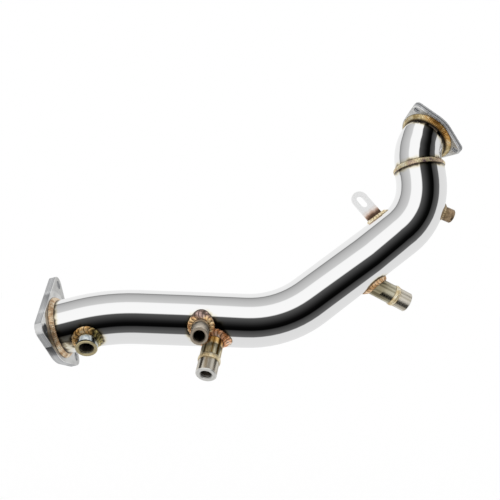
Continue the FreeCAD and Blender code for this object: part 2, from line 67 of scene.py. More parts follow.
def grey(level):
    return hexColour("#" + "%02x" % level * 3)


def addNode(tree, kind, inputs=None, **settings):
    made = tree.nodes.new(kind)
    for name, value in settings.items():
        setattr(made, name, value)
    for name, value in (inputs or {}).items():
        if isinstance(value, bpy.types.NodeSocket):
            tree.links.new(value, made.inputs[name])
        else:
            made.inputs[name].default_value = value
    return made


def calc(tree, operation, *values):
    made = addNode(tree, "ShaderNodeMath", dict(enumerate(values)), operation=operation)
    return made.outputs[0]


def dot(tree, vector, direction):
    made = addNode(tree, "ShaderNodeVectorMath", {0: vector, 1: tuple(direction)},
                   operation="DOT_PRODUCT")
    return made.outputs["Value"]


def distance(tree, vector, point):
    made = addNode(tree, "ShaderNodeVectorMath", {0: vector, 1: tuple(point)},
                   operation="DISTANCE")
    return made.outputs["Value"]


def mapped(tree, value, low, high, first=0.0, last=1.0, smooth=False):
    kind = "SMOOTHSTEP" if smooth else "LINEAR"
    made = addNode(tree, "ShaderNodeMapRange", {"Value": value, "From Min": low, "From Max": high,
                                                "To Min": first, "To Max": last},
                   interpolation_type=kind)
    return made.outputs["Result"]


def mixed(tree, factor, first, second):
    # sockets 6 and 7 take the two colours, and output 2 gives the mixed one
    made = addNode(tree, "ShaderNodeMix", {0: factor, 6: first, 7: second}, data_type="RGBA")
    return made.outputs[2]


def ramp(tree, value, stops):
    # stops: (position, linear colour)
    made = addNode(tree, "ShaderNodeValToRGB", {"Fac": value})
    band = made.color_ramp
    band.interpolation = "LINEAR"
    while len(band.elements) > 1:
        band.elements.remove(band.elements[-1])
    band.elements[0].position = stops[0][0]
    band.elements[0].color = stops[0][1]
    for position, colour in stops[1:]:
        band.elements.new(position).color = colour
    return made.outputs["Color"]


# The tubes' route, as part.py lays it: the ends of the straights, with bends between them

route = {
    "mainEnds": [(-0.456928, -0.095236, -0.264497), (-0.429195, -0.097870, -0.256438),
                 (-0.360195, -0.101073, -0.246636), (-0.234695, -0.101073, -0.246636),
                 (-0.158374, -0.089149, -0.221296), (-0.045118, -0.048254, -0.134389),
                 (-0.015531, -0.023847, -0.059545), (-0.017043, -0.021557, -0.049929)],
    "elbowEnds": [(-0.017043, -0.021557, -0.049929), (-0.017799, -0.020411, -0.045121),
                  (-0.008501, -0.006272, -0.009932), (-0.004690, -0.003461, -0.005480)],
    "mainRadius": 31.75, "elbowRadius": 30.0, "bendSteps": 48, "halvings": 40,
}

ports = {
    "lambda": {"seat": (-0.414601, -0.123670, -0.272973), "axis": (0.086386, -0.780445, -0.619228)},
    "boss": {"seat": (-0.285018, -0.132331, -0.252204), "axis": (0, -0.984503, -0.175367)},
    "lower": {"seat": (-0.270054, -0.123797, -0.268811), "axis": (-0.132256, -0.709406, -0.692280)},
    "side": {"seat": (-0.078742, -0.066995, -0.200208), "axis": (0.895339, 0.140275, -0.422719)},
    "stub": {"seat": (0.011676, -0.028325, -0.105323), "axis": (0.930049, 0.163470, -0.329070)},
    "bracket": {"seat": (-0.073793, -0.043983, -0.117518), "axis": (-0.643247, 0.228369, 0.730809),
                "normal": (-0.067608, 0.933814, -0.351314)},
    "exhaust": {"seat": (-0.452146, -0.095690, -0.263107), "axis": (0.956305, -0.090833, 0.277904)},
    "turbo": {"seat": (-0.004690, -0.003461, -0.005480), "axis": (-0.586249, -0.432567, -0.684980)},
    "seam": {"seat": (-0.017043, -0.021557, -0.049929), "axis": (-0.151168, 0.229002, 0.961616)},
}


def mainRoute():
    # points down the middle of the main tube, close together in the bends
    ends = [Vector(end) for end in route["mainEnds"]]
    points = [ends[0], ends[1]]
    for index in range(1, len(ends) - 2, 2):
        start, end = ends[index], ends[index + 1]
        coming = (start - ends[index - 1]).normalized()
        going = (ends[index + 2] - end).normalized()
        turn = coming.angle(going)
        pivotAxis = coming.cross(going).normalized()
        radius = (end - start).length / (2 * math.sin(turn / 2))
        centre = start + pivotAxis.cross(coming) * radius
        for step in range(1, route["bendSteps"] + 1):
            swing = Matrix.Rotation(turn * step / route["bendSteps"], 3, pivotAxis)
            points.append(centre + swing @ (start - centre))
        points.append(ends[index + 2])
    return np.array([tuple(point) for point in points])


mainPoints = mainRoute()


def nearestOnRoute(point):
    # closest point of the main tube's centreline
    starts, ends = mainPoints[:-1], mainPoints[1:]
    spans = ends - starts
    share = np.einsum("ij,ij->i", point - starts, spans) / np.einsum("ij,ij->i", spans, spans)
    spots = starts + spans * np.clip(share, 0, 1)[:, None]
    return spots[np.argmin(np.linalg.norm(spots - point, axis=1))]


def sideways(axis):
    # two unit vectors square to an axis
    axis = Vector(axis).normalized()
    first = axis.orthogonal().normalized()
    return np.array(axis), np.array(first), np.array(axis.cross(first))


def surfaceHeight(base, axis, radius):
    # how far along axis from base a line meets the main tube, coming from outside
    low, high = -radius, radius
    for _ in range(route["halvings"]):
        middle = (low + high) / 2
        spot = base + axis * middle
        if np.linalg.norm(spot - nearestOnRoute(spot)) > route["mainRadius"] * mm:
            high = middle
        else:
            low = middle
    return (low + high) / 2


# Mesh from a grid of points

def gridMesh(name, grid, closed=True, fields=None):
    # grid[i][j] is a point; rows i run along and columns j run across, both in loops if closed
    rows, columns = grid.shape[:2]
    vertices = grid.reshape(-1, 3)
    faces = []
    for i in range(rows if closed else rows - 1):
        after = (i + 1) % rows
        for j in range(columns if closed else columns - 1):
            beside = (j + 1) % columns
            faces.append((i * columns + j, i * columns + beside,
                          after * columns + beside, after * columns + j))
    mesh = bpy.data.meshes.new(name)
    mesh.from_pydata([tuple(v) for v in vertices], [], faces)
    for field, values in (fields or {}).items():
        layer = mesh.attributes.new(field, "FLOAT", "POINT")
        layer.data.foreach_set("value", np.asarray(values, float).reshape(-1))
    made = bpy.data.objects.new(name, mesh)
    bpy.context.scene.collection.objects.link(made)
    return made


def turnOutward(thing):
    # every face of a closed mesh looks outward
    work = bmesh.new()
    work.from_mesh(thing.data)
    bmesh.ops.recalc_face_normals(work, faces=work.faces)
    work.to_mesh(thing.data)
    work.free()


def smoothShade(thing, angle):
    turnOutward(thing)
    thing.data.shade_smooth()
    thing.data.set_sharp_from_angle(angle=math.radians(angle))


def place(thing, node):
    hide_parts(node)
    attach(thing, "root")


# Materials

def material(name):
    made = bpy.data.materials.new(name)
    made.use_nodes = True
    tree = made.node_tree
    return made, tree, tree.nodes["Principled BSDF"]


def placeOf(tree):
    return addNode(tree, "ShaderNodeTexCoord").outputs["Object"]


def noise(tree, vector, scale, detail=2.0, roughness=0.5):
    made = addNode(tree, "ShaderNodeTexNoise", {"Vector": vector, "Scale": scale, "Detail": detail,
                                                "Roughness": roughness})
    return made.outputs[0]


def unevenness(tree, vector, scale, size, detail=2.0):
    # a length in metres that wanders by size, in millimetres, either way
    return mapped(tree, noise(tree, vector, scale, detail), 0.3, 0.7, -size * mm, size * mm)


def smallest(tree, values, blend):
    # the least of several distances; where two are nearly equal it comes out lower still
    least = values[0]
    for value in values[1:]:
        least = calc(tree, "SMOOTH_MIN", least, value, blend)
    return least


# how far each weld's toe lies from its port's seat, or from its ring's plane, and the film's
# spread; the turbo ring's runs past its toe, as painted shade on the tube; noise scales are per
# metre here and below
heat = {
    "ports": {"lambda": 18.0, "boss": 15.5, "lower": 18.0, "side": 18.5, "stub": 13.5,
              "bracket": 12.5},
    # the turbo ring's 10 mm, past its 5.5 mm toe, paints shade on the tube next to the ring
    "rings": {"exhaust": 5.2, "turbo": 10.0, "seam": 4.2},
    "ringReach": 44.0, "blend": 28.0, "uneven": 1.4, "patchScale": 160.0,
    # the film's colours run from inside the toe to this far past it
    "inside": -3.0, "outside": 6.0,
}


def heatDistance(tree, vector):
    # metres from the nearest weld toe, a little uneven
    values = []
    for name, reach in heat["ports"].items():
        away = distance(tree, vector, ports[name]["seat"])
        values.append(calc(tree, "SUBTRACT", away, reach * mm))
    for name, reach in heat["rings"].items():
        seat, axis = Vector(ports[name]["seat"]), Vector(ports[name]["axis"]).normalized()
        height = calc(tree, "SUBTRACT", dot(tree, vector, axis), seat.dot(axis))
        band = calc(tree, "SUBTRACT", calc(tree, "ABSOLUTE", height), reach * mm)
        away = calc(tree, "SUBTRACT", distance(tree, vector, seat), heat["ringReach"] * mm)
        values.append(calc(tree, "MAXIMUM", band, away))
    uneven = unevenness(tree, vector, heat["patchScale"], heat["uneven"], 3.0)
    return calc(tree, "ADD", smallest(tree, values, heat["blend"] * mm), uneven)


polish = {"wearScale": 900.0, "smoothest": 0.025, "dullest": 0.05}


def polishedTube():
    # mirror-polished stainless tube: metallic and almost white, roughness 0.025 to 0.05;
    # heat tints of brown, grey and straw lie within 7 mm of each weld's toe, and the dark tint runs
    # further next to the turbo ring as painted shade
    made, tree, shader = material("mirror_polished_stainless")
    vector = placeOf(tree)
    away = mapped(tree, heatDistance(tree, vector), heat["inside"] * mm, heat["outside"] * mm)
    tint = ramp(tree, away, [
        (0.0, hexColour("#2c2621")), (0.28, hexColour("#4f463c")), (0.42, hexColour("#a3977f")),
        (0.55, hexColour("#e6dfca")), (0.72, hexColour("#f3f1ea")), (0.9, hexColour("#f6f6f6"))])
    wear = mapped(tree, noise(tree, vector, polish["wearScale"], 4.0), 0.35, 0.65,
                  polish["smoothest"], polish["dullest"])
    shader.inputs["Metallic"].default_value = 1.0
    tree.links.new(tint, shader.inputs["Base Color"])
    tree.links.new(wear, shader.inputs["Roughness"])
    return made


def facing(tree, port):
    # 1 on faces square to a port's axis, 0 on the walls round it
    axis = Vector(ports[port]["axis"]).normalized()
    normal = addNode(tree, "ShaderNodeNewGeometry").outputs["Normal"]
    return calc(tree, "ABSOLUTE", dot(tree, normal, axis))


def heightAbove(tree, vector, port):
    # metres along a port's axis from its seat
    seat, axis = Vector(ports[port]["seat"]), Vector(ports[port]["axis"]).normalized()
    return calc(tree, "SUBTRACT", dot(tree, vector, axis), seat.dot(axis))


plate = {
    "patchScale": 60.0, "lineScale": 900.0, "driftScale": 40.0, "drift": 1.5,
    # the corner fade, in mm, is how far the painted corner highlight takes to come in
    "splitHalf": 0.3, "splitFade": 0.8, "cornerHighlightFade": 0.6,
    # how square to the port's axis a surface is where the look changes from a cut edge to a
    # corner chamfer with painted highlight, from that to a ground face, and from dull to smooth
    "broken": (0.35, 0.5), "face": (0.85, 0.95), "smooth": (0.8, 0.95),
    "faceRoughness": 0.36, "cutRoughness": 0.65, "bump": 0.1,
}


def flangePlate(name, port, split=0.0, corner=None):
    # laser-cut stainless plate: metallic; ground faces with roughness 0.36, cut edges with 0.65
    # and grinding lines about a millimetre apart that run round the plate, corner chamfers painted
    # near white, partly ground steel and partly a painted highlight;
    # split: how deep below the port's seat, in millimetres, a dark parting line runs round;
    # corner: the way to a corner with a painted highlight, and how far from the seat that starts
    made, tree, shader = material(name)
    vector = placeOf(tree)
    patches = noise(tree, vector, plate["patchScale"], 4.0, 0.6)
    face = ramp(tree, patches, [(0.3, hexColour("#b9b9b8")), (0.5, hexColour("#cfcfcd")),
                                (0.7, hexColour("#dededc"))])
    height = heightAbove(tree, vector, port)
    drift = calc(tree, "MULTIPLY", noise(tree, vector, plate["driftScale"], 1.0),
                 plate["drift"] * mm)
    lines = addNode(tree, "ShaderNodeTexNoise", {
        "W": calc(tree, "ADD", height, drift), "Scale": plate["lineScale"], "Detail": 3.0},
        noise_dimensions="1D").outputs[0]
    cut = ramp(tree, mapped(tree, lines, 0.3, 0.7), [
        (0.0, hexColour("#aeafb1")), (0.45, hexColour("#cdcecf")), (1.0, hexColour("#ececec"))])
    if split:
        off = calc(tree, "ABSOLUTE", calc(tree, "ADD", height, split * mm))
        clear = mapped(tree, off, plate["splitHalf"] * mm, plate["splitFade"] * mm)
        cut = mixed(tree, clear, hexColour("#68696c"), cut)
    # painted highlight: the corner on the given way is painted near white
    if corner:
        way, start = Vector(corner[0]).normalized(), corner[1]
        along = calc(tree, "SUBTRACT", dot(tree, vector, way), Vector(ports[port]["seat"]).dot(way))
        cornerHighlight = mapped(tree, along, start * mm, (start + plate["cornerHighlightFade"]) * mm)
        cut = mixed(tree, cornerHighlight, cut, hexColour("#fbfbfb"))
    turned = facing(tree, port)
    # corner chamfers painted near white: their ground steel, partly a painted highlight
    broken = mixed(tree, mapped(tree, turned, *plate["broken"]), cut, hexColour("#f0f0ef"))
    colour = mixed(tree, mapped(tree, turned, *plate["face"]), broken, face)
    bump = addNode(tree, "ShaderNodeBump", {"Strength": 0.15, "Distance": plate["bump"] * mm,
                                            "Height": lines})
    shader.inputs["Metallic"].default_value = 1.0
    dull = mapped(tree, turned, *plate["smooth"], plate["cutRoughness"], plate["faceRoughness"])
    tree.links.new(dull, shader.inputs["Roughness"])
    tree.links.new(colour, shader.inputs["Base Color"])
    tree.links.new(bump.outputs[0], shader.inputs["Normal"])
    return made


filler = {
    "metallic": 0.65, "farToe": 0.86, "spotScale": 90.0, "spotUneven": 3.0,
    # the ripple's height, as its share, where the painted shade in its grooves starts and where it
    # is darkest
    "grooveStart": 0.05, "grooveEnd": -0.5, "grooveDark": 0.9,
    "grainScale": 900.0, "grain": 0.25,
}


def weldMaterial(name, colours, scale=150.0, roughness=0.3, spot=None, toe="#2b211a", toeLineAndShade=0.14):
    # heat-coloured weld bead: metallic 0.65, as dull oxide covers a third of the shiny filler;
    # film colours in patches 7 to 9 mm wide, a dark toe line at both edges, painted shade in the
    # grooves between the ripples, and a fine grain about a millimetre apart that catches light;
    # spot: (port, way from its seat, where it starts and ends in mm, the colours there);
    # toe line and shade: how far the dark toe colour reaches across the bead from the tube's side;
    # past a thin toe line it is painted shade
    made, tree, shader = material(name)
    vector = placeOf(tree)
    patches = mapped(tree, noise(tree, vector, scale, 3.0, 0.65), 0.3, 0.7)

    def film(codes):
        step = 1.0 / (len(codes) - 1)
        return ramp(tree, patches,
                    [(index * step, hexColour(code)) for index, code in enumerate(codes)])

    colour = film(colours)
    if spot:
        port, way, start, end, codes = spot
        seat, way = Vector(ports[port]["seat"]), Vector(way).normalized()
        along = calc(tree, "SUBTRACT", dot(tree, vector, way), seat.dot(way))
        uneven = unevenness(tree, vector, filler["spotScale"], filler["spotUneven"])
        inside = mapped(tree, calc(tree, "ADD", along, uneven), start * mm, end * mm, smooth=True)
        colour = mixed(tree, inside, colour, film(codes))
    across = addNode(tree, "ShaderNodeAttribute", attribute_name="across").outputs["Fac"]
    # dark toe colour: a thin toe line at both edges, and painted shade across the bead from the
    # tube's side
    edge = calc(tree, "MAXIMUM", mapped(tree, across, toeLineAndShade, 0.0, smooth=True),
                mapped(tree, across, filler["farToe"], 1.0, smooth=True))
    rise = addNode(tree, "ShaderNodeAttribute", attribute_name="rise").outputs["Fac"]
    # painted shade in the grooves between the ripples
    groove = mapped(tree, rise, filler["grooveStart"], filler["grooveEnd"], 0.0,
                    filler["grooveDark"], smooth=True)
    colour = mixed(tree, groove, colour, hexColour(toe))
    colour = mixed(tree, edge, colour, hexColour(toe))
    bump = addNode(tree, "ShaderNodeBump", {
        "Strength": 0.5, "Distance": filler["grain"] * mm,
        "Height": noise(tree, vector, filler["grainScale"], 2.0)})
    shader.inputs["Metallic"].default_value = filler["metallic"]
    shader.inputs["Roughness"].default_value = roughness
    tree.links.new(colour, shader.inputs["Base Color"])
    tree.links.new(bump.outputs[0], shader.inputs["Normal"])
    return made


turning = {
    "patchScale": 220.0, "unevenScale": 150.0, "uneven": 1.5,
    # where the patches change colour: wide on turned pieces, narrow in the streaks, partly drawing
    # marks and partly painted reflections
    "wide": (0.35, 0.65), "streaked": (0.42, 0.56),
    "endFace": (0.55, 0.68), "endRoughness": 0.42,
    # painted shade in a bore: its fade at the wall, and the depths where it starts and is full
    "wallFade": 0.4, "shadeStart": 1.0, "shadeFull": 5.0, "mouthShade": 0.5,
}


def turnedSteel(name, port, plain, tinted, face, near, far, bore=None, roughness=0.16,
                drawnStreaksAndReflections=False):
    # turned stainless fitting: metallic, walls of the given roughness, end faces with 0.42, and
    # heat tint that fades away from the weld, from near to far in millimetres above the seat;
    # bore: its radius and the height of its mouth; its thread is painted darker downward, as shade;
    # drawn: the colour runs in streaks a few millimetres apart along the piece, partly drawing
    # marks and partly painted reflections
    made, tree, shader = material(name)
    vector = placeOf(tree)
    seat, axis = Vector(ports[port]["seat"]), Vector(ports[port]["axis"]).normalized()
    beside = addNode(tree, "ShaderNodeVectorMath", {
        0: addNode(tree, "ShaderNodeVectorMath", {0: vector, 1: tuple(seat)},
                   operation="SUBTRACT").outputs[0],
        1: tuple(axis)}, operation="CROSS_PRODUCT").outputs[0]
    # streaked pieces get colour streaks along their axis: partly drawing marks, partly painted
    # reflections
    patches = noise(tree, beside if drawnStreaksAndReflections else vector, turning["patchScale"], 3.0, 0.6)
    uneven = unevenness(tree, vector, turning["unevenScale"], turning["uneven"])
    fade = mapped(tree, calc(tree, "ADD", heightAbove(tree, vector, port), uneven), near * mm,
                  far * mm, smooth=True)
    low, high = turning["streaked" if drawnStreaksAndReflections else "wide"]
    steel = ramp(tree, patches, [(low, hexColour(plain[0])), (high, hexColour(plain[1]))])
    oxide = ramp(tree, patches, [(low, hexColour(tinted[0])), (high, hexColour(tinted[1]))])
    end = mapped(tree, facing(tree, port), *turning["endFace"])
    colour = mixed(tree, end, mixed(tree, fade, oxide, steel), hexColour(face))
    if bore:
        inner, mouth = bore
        radius = addNode(tree, "ShaderNodeVectorMath", {0: beside}, operation="LENGTH")
        inside = mapped(tree, radius.outputs["Value"], inner * mm,
                        (inner - turning["wallFade"]) * mm)
        deep = mapped(tree, heightAbove(tree, vector, port), (mouth - turning["shadeStart"]) * mm,
                      (mouth - turning["shadeFull"]) * mm, turning["mouthShade"], 1.0)
        # painted shade in the bore, darker with depth below the mouth
        colour = mixed(tree, calc(tree, "MULTIPLY", inside, deep), colour, hexColour("#37322b"))
    shader.inputs["Metallic"].default_value = 1.0
    dull = mapped(tree, end, 0.0, 1.0, roughness, turning["endRoughness"])
    tree.links.new(dull, shader.inputs["Roughness"])
    tree.links.new(colour, shader.inputs["Base Color"])
    return made


sheet = {"tintHeight": 24.0, "uneven": 1.5, "unevenScale": 120.0, "roughness": 0.3}


def bracketSheet():
    # satin stainless sheet: metallic, roughness 0.3; brown and pink heat tint at its root
    made, tree, shader = material("satin_stainless_sheet")
    vector = placeOf(tree)
    height = heightAbove(tree, vector, "bracket")
    uneven = unevenness(tree, vector, sheet["unevenScale"], sheet["uneven"])
    tinted = mapped(tree, calc(tree, "ADD", height, uneven), 0.0, sheet["tintHeight"] * mm)
    colour = ramp(tree, tinted, [
        (0.0, hexColour("#4a3628")), (0.26, hexColour("#7b6050")), (0.38, hexColour("#c8a894")),
        (0.5, hexColour("#ece2dc")), (0.66, hexColour("#fbfbfb"))])
    shader.inputs["Metallic"].default_value = 1.0
    shader.inputs["Roughness"].default_value = sheet["roughness"]
    tree.links.new(colour, shader.inputs["Base Color"])
    return made


looks = {
    "tube": polishedTube(),
    # the exhaust plate's corner on this way gets a painted highlight
    "exhaustPlate": flangePlate("ground_stainless_exhaust_plate", "exhaust",
                                corner=((-0.119, -0.989, 0.088), 56.8)),
    "turboPlate": flangePlate("ground_stainless_turbo_plate", "turbo", 4.4),
    "sheet": bracketSheet(),
    "lambdaSteel": turnedSteel("turned_stainless_lambda", "lambda", ("#a9b4ba", "#e6ebea"),
                               ("#8a8058", "#c3b07a"), "#d8caa0", 2.0, 7.0, (9.3, 14.5)),
    "bossSteel": turnedSteel("turned_stainless_boss", "boss", ("#d8ccbc", "#f6ecdc"),
                             ("#a8967c", "#dccaae"), "#a89c8c", 6.0, 22.0, (7.2, 39.0), 0.45),
    # the gold and olive extensions' and the probe bungs' streaks are partly painted reflections
    "lowerSteel": turnedSteel("gold_stainless_streaks_and_painted_reflections", "lower", ("#8a6a2c", "#fff4d0"),
                              ("#80561c", "#f0c47c"), "#c8b37a", 6.0, 16.0, None, 0.32, True),
    "sideSteel": turnedSteel("olive_stainless_streaks_and_painted_reflections", "side", ("#9a937c", "#cfcab4"),
                             ("#6f6750", "#a59c80"), "#b8b29c", 6.0, 24.0, None, 0.22, True),
    "lowerBung": turnedSteel("turned_stainless_lower_bung", "lower", ("#b4ab9c", "#ddd6c8"),
                             ("#9c8a62", "#d0bf94"), "#efeeea", 30.0, 35.0, (7.4, 49.0), 0.22,
                             True),
    "sideBung": turnedSteel("turned_stainless_side_bung", "side", ("#b9b2a2", "#e2dccf"),
                            ("#9c8a62", "#d8c49c"), "#efeeea", 30.0, 35.0, (7.4, 49.0), 0.24,
                            True),
    "stubSteel": turnedSteel("heat_tinted_stainless_stub", "stub", ("#75624c", "#b39a7c"),
                             ("#5e4c38", "#95805f"), "#a38d70", 2.0, 9.0, (6.1, 15.5), 0.28),
    "exhaustBead": weldMaterial("weld_bead_peach", ["#a07c56", "#d2ae86", "#eed8b6", "#fbf2e2"]),
    # the turbo bead's dark toe colour runs 0.4 of the way across: painted shade on its tube side
    "turboBead": weldMaterial(
        "weld_bead_gold", ["#8f7a4a", "#c0a873", "#e0cc9a", "#f2e8cc"],
        spot=("turbo", (0.379, -0.893, 0.240), 20.0, 30.0,
              ["#8a5a2a", "#b88238", "#dcaa60", "#f4deae"]), toe="#4a3a20", toeLineAndShade=0.4),
    "seamBead": weldMaterial("weld_bead_straw", ["#75597a", "#cdb49c", "#ebdcae", "#f8f2de"],
                             roughness=0.35, toe="#6b5b45"),
    "lambdaBead": weldMaterial(
        "weld_bead_olive_gold", ["#8f6630", "#dcaa64", "#f8d298", "#fff4d4"], 110.0, 0.28,
        spot=("lambda", (1.0, 0.0, -0.2), 0.0, 7.0, ["#2c2818", "#6d6238", "#b8a868", "#fff8d4"])),
    "bossBead": weldMaterial(
        "weld_bead_copper_gold", ["#87552f", "#d69a62", "#f6d098", "#fff4d6"], 120.0, 0.28,
        spot=("boss", (0.0, 0.0, 1.0), 7.0, 13.0, ["#2a2723", "#6b5a50", "#b79a90", "#f0dcd8"])),
    "copperBead": weldMaterial("weld_bead_copper", ["#a4683e", "#e49a62", "#fac49c", "#fff0e2"],
                               120.0, 0.3),
    "sideBead": weldMaterial("weld_bead_peach_gold", ["#7a5a3c", "#c0925e", "#e8c094", "#f8e6c8"],
                             120.0),
    "stubBead": weldMaterial("weld_bead_brown", ["#6b5a42", "#9c8560", "#c2ab84", "#dccba8"]),
    "jointBead": weldMaterial("weld_bead_pale_gold", ["#b89c6c", "#ecd6a8", "#faecc8",
                                                      "#fffaea"], toe="#7d6846"),
}


# Weld beads: a swept fillet with the ripples of the filler's steps

beads = {
    "stepLength": 0.4, "acrossPoints": 13, "sink": 0.5, "crescent": 0.55, "sharpAngle": 50.0,
    # noise per metre that moves the ripples along the bead and swells it
    "wanderScale": 180.0, "wander": 0.8, "lumpScale": 140.0,
    # a ripple's section: how broad its back is, and the level that stays put
    "ridgePower": 0.6, "ridgeLevel": 0.7,
}


def rippleGroup():
    # pushes a bead's surface in and out along its run, in crescents, and dresses it
    group = bpy.data.node_groups.new("weld_ripple", "GeometryNodeTree")
    sockets = {}
    for name, kind, way in (("Geometry", "NodeSocketGeometry", "INPUT"),
                            ("Pitch", "NodeSocketFloat", "INPUT"),
                            ("Height", "NodeSocketFloat", "INPUT"),
                            ("Lump", "NodeSocketFloat", "INPUT"),
                            ("Crescent", "NodeSocketFloat", "INPUT"),
                            ("Material", "NodeSocketMaterial", "INPUT"),
                            ("Geometry", "NodeSocketGeometry", "OUTPUT")):
        made = group.interface.new_socket(name, in_out=way, socket_type=kind)
        sockets[way + name] = made.identifier
    enter = addNode(group, "NodeGroupInput")
    leave = addNode(group, "NodeGroupOutput")

    def field(name):
        return addNode(group, "GeometryNodeInputNamedAttribute", {"Name": name},
                       data_type="FLOAT").outputs["Attribute"]

    along, across, mask = field("along"), field("across"), field("mask")
    fromMiddle = calc(group, "SUBTRACT", across, 0.5)
    bow = calc(group, "MULTIPLY", calc(group, "POWER", fromMiddle, 2.0), 4.0)
    steps = calc(group, "DIVIDE", along, enter.outputs["Pitch"])
    position = addNode(group, "GeometryNodeInputPosition").outputs[0]
    wander = addNode(group, "ShaderNodeTexNoise", {
        "Vector": position, "Scale": beads["wanderScale"], "Detail": 1.0}).outputs[0]
    phase = calc(group, "ADD", steps, calc(group, "MULTIPLY", bow, enter.outputs["Crescent"]))
    phase = calc(group, "ADD", phase, calc(group, "MULTIPLY", wander, beads["wander"]))
    wave = calc(group, "ABSOLUTE", calc(group, "SINE", calc(group, "MULTIPLY", phase, math.pi)))
    ridge = calc(group, "SUBTRACT", calc(group, "POWER", wave, beads["ridgePower"]),
                 beads["ridgeLevel"])
    lumps = addNode(group, "ShaderNodeTexNoise", {
        "Vector": position, "Scale": beads["lumpScale"], "Detail": 2.0}).outputs[0]
    lump = calc(group, "MULTIPLY", calc(group, "SUBTRACT", lumps, 0.5), enter.outputs["Lump"])
    rise = calc(group, "ADD", calc(group, "MULTIPLY", ridge, enter.outputs["Height"]), lump)
    amount = calc(group, "MULTIPLY", rise, mask)
    normal = addNode(group, "GeometryNodeInputNormal").outputs[0]
    push = addNode(group, "ShaderNodeVectorMath", {0: normal, "Scale": amount},
                   operation="SCALE").outputs[0]
    moved = addNode(group, "GeometryNodeSetPosition", {"Geometry": enter.outputs["Geometry"],
                                                       "Offset": push})
    stored = addNode(group, "GeometryNodeStoreNamedAttribute", {
        "Geometry": moved.outputs[0], "Name": "rise", "Value": ridge}, data_type="FLOAT",
        domain="POINT")
    real = addNode(group, "GeometryNodeRealizeInstances", {"Geometry": stored.outputs[0]})
    dressed = addNode(group, "GeometryNodeSetMaterial", {"Geometry": real.outputs[0],
                                                         "Material": enter.outputs["Material"]})
    group.links.new(dressed.outputs[0], leave.inputs["Geometry"])
    return group, sockets


rippler, ripplerSockets = rippleGroup()


def rippled(thing, pitch, height, lump, look):
    # runs the ripple group on a bead and keeps the result as a plain mesh
    modifier = thing.modifiers.new("ripple", "NODES")
    modifier.node_group = rippler
    for name, value in (("Pitch", pitch), ("Height", height * mm), ("Lump", lump * mm),
                        ("Crescent", beads["crescent"]), ("Material", looks[look])):
        modifier[ripplerSockets["INPUT" + name]] = value
    view = bpy.context.evaluated_depsgraph_get()
    mesh = bpy.data.meshes.new_from_object(thing.evaluated_get(view))
    thing.modifiers.clear()
    thing.data = mesh


def bead(node, lines, pitch, height, lump, look):
    # one closed bead from four lines of points: a toe, its crown, its other toe and a line
    # buried under it; pitch, height and lump size its ripples in millimetres
    wallToe, crown, plateToe, hidden = (np.array(line) for line in lines)
    count = beads["acrossPoints"]
    share = np.linspace(0, 1, count)[None, :, None]
    first, middle, last = wallToe[:, None], crown[:, None], plateToe[:, None]
    pull = 2 * middle - (first + last) / 2
    skin = (1 - share) ** 2 * first + 2 * share * (1 - share) * pull + share ** 2 * last
    grid = np.concatenate([skin, hidden[:, None]], axis=1)
    steps = np.linalg.norm(np.diff(crown, axis=0), axis=1)
    along = np.concatenate([[0], np.cumsum(steps)]) / mm
    total = along[-1] + np.linalg.norm(crown[0] - crown[-1]) / mm
    wholePitch = total / max(1, round(total / pitch))
    rows = len(grid)
    alongField = np.repeat(along[:, None], count + 1, axis=1)
    acrossField = np.concatenate([np.repeat(np.linspace(0, 1, count)[None], rows, 0),
                                  np.full((rows, 1), 0.5)], axis=1)
    hump = np.sqrt(np.abs(np.sin(np.pi * np.linspace(0, 1, count))))
    maskField = np.concatenate([np.repeat(hump[None], rows, 0), np.zeros((rows, 1))], axis=1)
    made = gridMesh(node.replace("_weld", "_bead"), grid, True,
                    {"along": alongField, "across": acrossField, "mask": maskField})
    turnOutward(made)
    rippled(made, wholePitch, height, lump, look)
    smoothShade(made, beads["sharpAngle"])
    place(made, node)


def ringPoints(port, profile, count):
    # a line of points round a ring for each (radius, height) of the profile
    axis, first, second = sideways(ports[port]["axis"])
    seat = np.array(ports[port]["seat"])
    angle = np.linspace(0, 2 * math.pi, count, endpoint=False)[:, None]
    return [seat + axis * height * mm
            + (np.cos(angle) * first + np.sin(angle) * second) * radius * mm
            for radius, height in profile]


def ringBead(node, port, profile, pitch, height, lump, look):
    around = 2 * math.pi * profile[1][0]
    count = int(around / beads["stepLength"])
    bead(node, ringPoints(port, profile, count), pitch, height, lump, look)


def filletProfile(radius, leg, bulge):
    return [(radius, leg), (radius + leg / 2 + bulge, leg / 2 + bulge), (radius + leg, 0),
            (radius - beads["sink"], -beads["sink"])]


flangeBeads = {
    "exhaust": {"radius": route["mainRadius"], "leg": 5.0},
    "turbo": {"radius": route["elbowRadius"], "leg": 5.5},
}
flangeRipples = {"bulge": 0.5, "pitch": 2.2, "height": 0.4, "lump": 0.5}
for name, sizes in flangeBeads.items():
    ringBead(name + "_flange_weld", name,
             filletProfile(sizes["radius"], sizes["leg"], flangeRipples["bulge"]),
             flangeRipples["pitch"], flangeRipples["height"], flangeRipples["lump"],
             name + "Bead")

seam = {
    # radius and height of its toe on the main tube, crown, toe on the elbow and buried line
    "profile": [(route["mainRadius"], -2.5), (33.0, 0.6), (route["elbowRadius"], 4.5), (30.6, 0.2)],
    "pitch": 2.0, "height": 0.35, "lump": 0.4,
}
ringBead("elbow_joint_weld", "seam", seam["profile"], seam["pitch"], seam["height"], seam["lump"],
         "seamBead")
print("flange beads done")


